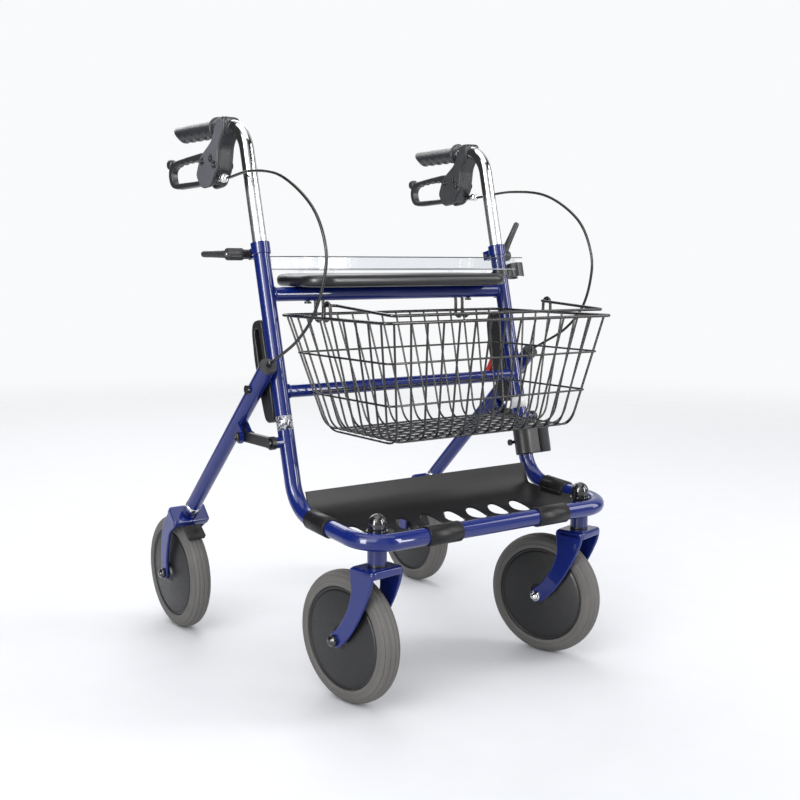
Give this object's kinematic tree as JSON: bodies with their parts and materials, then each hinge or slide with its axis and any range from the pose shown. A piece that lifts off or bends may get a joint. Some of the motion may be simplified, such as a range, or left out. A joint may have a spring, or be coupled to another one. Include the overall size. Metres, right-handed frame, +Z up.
{
  "type": "walking frame",
  "caption": "Folding walking frame on wheels with swivelling front casters, telescoping handles with brake levers, a seat, a tray, a lift-off wire basket and a low shelf.",
  "frame": {"origin": "on the floor under the middle, midway between the caster stems and the rear axles", "axes": "+Z up; the walker faces -Y and its user stands at +Y; +X is the user's left"},
  "size_m": [0.5982, 0.673, 0.8635],
  "materials": {
    "blue_paint": "glossy powder coat",
    "bush_plastic": "smooth",
    "cap_plastic": "glossy",
    "shelf_plastic": "fine grain",
    "seat_plastic": "fine grain",
    "zinc_steel": "bright plated",
    "clear_plastic": "clear",
    "coated_wire": "satin black coating",
    "holder_plastic": "smooth",
    "guide_plastic": "smooth",
    "red_plastic": "smooth",
    "link_plastic": "satin",
    "plug_plastic": "smooth",
    "shoe_rubber": "matte",
    "tyre_rubber": "matte, fine grooves",
    "disc_plastic": "fine grain",
    "chrome_tube": "polished",
    "grip_rubber": "matte, moulded ridges",
    "brake_plastic": "smooth",
    "cable_jacket": "satin",
    "clamp_plastic": "fine grain"
  },
  "bodies": {
    "frame": {"front_frame": "blue_paint", "caster_bushes": "bush_plastic", "dome_caps": "cap_plastic", "lower_shelf": "shelf_plastic", "seat_pad": "seat_plastic", "basket_hooks": "coated_wire", "cane_cup": "holder_plastic", "cane_clip": "holder_plastic", "frame_bolts": "zinc_steel", "latch_housing_left": "guide_plastic", "latch_housing_right": "guide_plastic", "brake_cable_left": "cable_jacket", "brake_cable_right": "cable_jacket"},
    "tray": {"tray": "clear_plastic"},
    "basket": {"basket": "coated_wire"},
    "basket_handle": {"basket_handle": "coated_wire"},
    "caster_left": {"front_fork_left": "blue_paint", "axle_bolt_front_left": "zinc_steel"},
    "front_wheel_left": {"tyre_front_left": "tyre_rubber", "wheel_disc_front_left": "disc_plastic"},
    "slider_left": {"pivot_slider_left": "zinc_steel"},
    "rear_leg_left": {"rear_leg_left": "blue_paint", "leg_plug_left": "plug_plastic", "rear_fork_left": "blue_paint", "axle_bolt_rear_left": "zinc_steel"},
    "link_left": {"folding_link_left": "link_plastic"},
    "rear_wheel_left": {"tyre_rear_left": "tyre_rubber", "wheel_disc_rear_left": "disc_plastic"},
    "brake_shoe_left": {"brake_shoe_left": "shoe_rubber"},
    "handle_left": {"handle_tube_left": "chrome_tube", "grip_left": "grip_rubber", "brake_housing_left": "brake_plastic", "lever_screws_left": "zinc_steel", "cable_adjuster_left": "chrome_tube"},
    "brake_lever_left": {"brake_lever_left": "brake_plastic"},
    "clamp_lever_left": {"clamp_lever_left": "clamp_plastic"},
    "latch_lever_left": {"latch_lever_left": "red_plastic"},
    "caster_right": {"front_fork_right": "blue_paint", "axle_bolt_front_right": "zinc_steel"},
    "front_wheel_right": {"tyre_front_right": "tyre_rubber", "wheel_disc_front_right": "disc_plastic"},
    "slider_right": {"pivot_slider_right": "zinc_steel"},
    "rear_leg_right": {"rear_leg_right": "blue_paint", "leg_plug_right": "plug_plastic", "rear_fork_right": "blue_paint", "axle_bolt_rear_right": "zinc_steel"},
    "link_right": {"folding_link_right": "link_plastic"},
    "rear_wheel_right": {"tyre_rear_right": "tyre_rubber", "wheel_disc_rear_right": "disc_plastic"},
    "brake_shoe_right": {"brake_shoe_right": "shoe_rubber"},
    "handle_right": {"handle_tube_right": "chrome_tube", "grip_right": "grip_rubber", "brake_housing_right": "brake_plastic", "lever_screws_right": "zinc_steel", "cable_adjuster_right": "chrome_tube"},
    "brake_lever_right": {"brake_lever_right": "brake_plastic"},
    "clamp_lever_right": {"clamp_lever_right": "clamp_plastic"},
    "latch_lever_right": {"latch_lever_right": "red_plastic"}
  },
  "joints": [
    {"name": "tray_lift", "type": "slide", "parent": "frame", "child": "tray", "axis": [0, 0, 1], "range_m": [0, 0.1]},
    {"name": "basket_lift", "type": "slide", "parent": "frame", "child": "basket", "axis": [0, -0.9507, 0.3102], "range_m": [0, 0.15]},
    {"name": "basket_handle_swing", "type": "hinge", "parent": "basket", "child": "basket_handle", "pos_m": [0, -0.16, 0.58], "axis": [-1, 0, 0], "range_deg": [0, 90]},
    {"name": "swivel_left", "type": "hinge", "parent": "frame", "child": "caster_left", "pos_m": [0.1982, -0.264, 0.24], "axis": [0, 0, 1], "continuous": true},
    {"name": "front_wheel_spin_left", "type": "hinge", "parent": "caster_left", "child": "front_wheel_left", "pos_m": [0.18217, -0.20618, 0.1], "axis": [0.9636, 0.2672, 0], "continuous": true},
    {"name": "fold_left", "type": "slide", "parent": "frame", "child": "slider_left", "axis": [0, 0.2425, 0.9701], "range_m": [0, 0.07]},
    {"name": "leg_turn_left", "type": "hinge", "parent": "slider_left", "child": "rear_leg_left", "pos_m": [0.26, -0.03127, 0.45153], "axis": [1, 0, 0], "range_deg": [-26.9, 0]},
    {"name": "link_turn_left", "type": "hinge", "parent": "frame", "child": "link_left", "pos_m": [0.26, -0.0783, 0.375], "axis": [1, 0, 0], "range_deg": [0, 42.2]},
    {"name": "rear_wheel_spin_left", "type": "hinge", "parent": "rear_leg_left", "child": "rear_wheel_left", "pos_m": [0.2595, 0.264, 0.1], "axis": [1, 0, 0], "continuous": true},
    {"name": "shoe_press_left", "type": "slide", "parent": "rear_leg_left", "child": "brake_shoe_left", "axis": [0, 0.6293, -0.7771], "range_m": [0, 0.0016]},
    {"name": "handle_height_left", "type": "slide", "parent": "frame", "child": "handle_left", "axis": [0, 0.2425, 0.9701], "range_m": [-0.045, 0.1]},
    {"name": "brake_left", "type": "hinge", "parent": "handle_left", "child": "brake_lever_left", "pos_m": [0.24231, 0.13355, 0.78346], "axis": [0.9981, -0.0592, 0.0148], "range_deg": [0, 9]},
    {"name": "clamp_turn_left", "type": "hinge", "parent": "frame", "child": "clamp_lever_left", "pos_m": [0.234, 0.01578, 0.65218], "axis": [1, 0, 0], "range_deg": [-50, 50]},
    {"name": "latch_turn_left", "type": "hinge", "parent": "frame", "child": "latch_lever_left", "pos_m": [0.26, -0.01114, 0.48257], "axis": [1, 0, 0], "range_deg": [0, 25]},
    {"name": "swivel_right", "type": "hinge", "parent": "frame", "child": "caster_right", "pos_m": [-0.1982, -0.264, 0.24], "axis": [0, 0, 1], "continuous": true},
    {"name": "front_wheel_spin_right", "type": "hinge", "parent": "caster_right", "child": "front_wheel_right", "pos_m": [-0.20619, -0.20453, 0.1], "axis": [0.9911, 0.1331, 0], "continuous": true},
    {"name": "fold_right", "type": "slide", "parent": "frame", "child": "slider_right", "axis": [0, 0.2425, 0.9701], "range_m": [0, 0.07]},
    {"name": "leg_turn_right", "type": "hinge", "parent": "slider_right", "child": "rear_leg_right", "pos_m": [-0.26, -0.03127, 0.45153], "axis": [1, 0, 0], "range_deg": [-26.9, 0]},
    {"name": "link_turn_right", "type": "hinge", "parent": "frame", "child": "link_right", "pos_m": [-0.26, -0.0783, 0.375], "axis": [1, 0, 0], "range_deg": [0, 42.2]},
    {"name": "rear_wheel_spin_right", "type": "hinge", "parent": "rear_leg_right", "child": "rear_wheel_right", "pos_m": [-0.2595, 0.264, 0.1], "axis": [1, 0, 0], "continuous": true},
    {"name": "shoe_press_right", "type": "slide", "parent": "rear_leg_right", "child": "brake_shoe_right", "axis": [0, 0.6293, -0.7771], "range_m": [0, 0.0016]},
    {"name": "handle_height_right", "type": "slide", "parent": "frame", "child": "handle_right", "axis": [0, 0.2425, 0.9701], "range_m": [-0.045, 0.1]},
    {"name": "brake_right", "type": "hinge", "parent": "handle_right", "child": "brake_lever_right", "pos_m": [-0.24231, 0.1367, 0.79607], "axis": [0.9981, 0.0592, -0.0148], "range_deg": [0, 9]},
    {"name": "clamp_turn_right", "type": "hinge", "parent": "frame", "child": "clamp_lever_right", "pos_m": [-0.234, 0.01578, 0.65218], "axis": [1, 0, 0], "range_deg": [-50, 50]},
    {"name": "latch_turn_right", "type": "hinge", "parent": "frame", "child": "latch_lever_right", "pos_m": [-0.26, -0.01114, 0.48257], "axis": [1, 0, 0], "range_deg": [0, 25]}
  ],
  "couplings": [
    {"joint": "leg_turn_left", "follows": "fold_left", "rad_per_m": -6.6911},
    {"joint": "link_turn_left", "follows": "fold_left", "rad_per_m": 10.506},
    {"joint": "shoe_press_left", "follows": "brake_left", "m_per_rad": 0.00955},
    {"joint": "leg_turn_right", "follows": "fold_right", "rad_per_m": -6.6911},
    {"joint": "link_turn_right", "follows": "fold_right", "rad_per_m": 10.506},
    {"joint": "shoe_press_right", "follows": "brake_right", "m_per_rad": 0.00955}
  ]
}
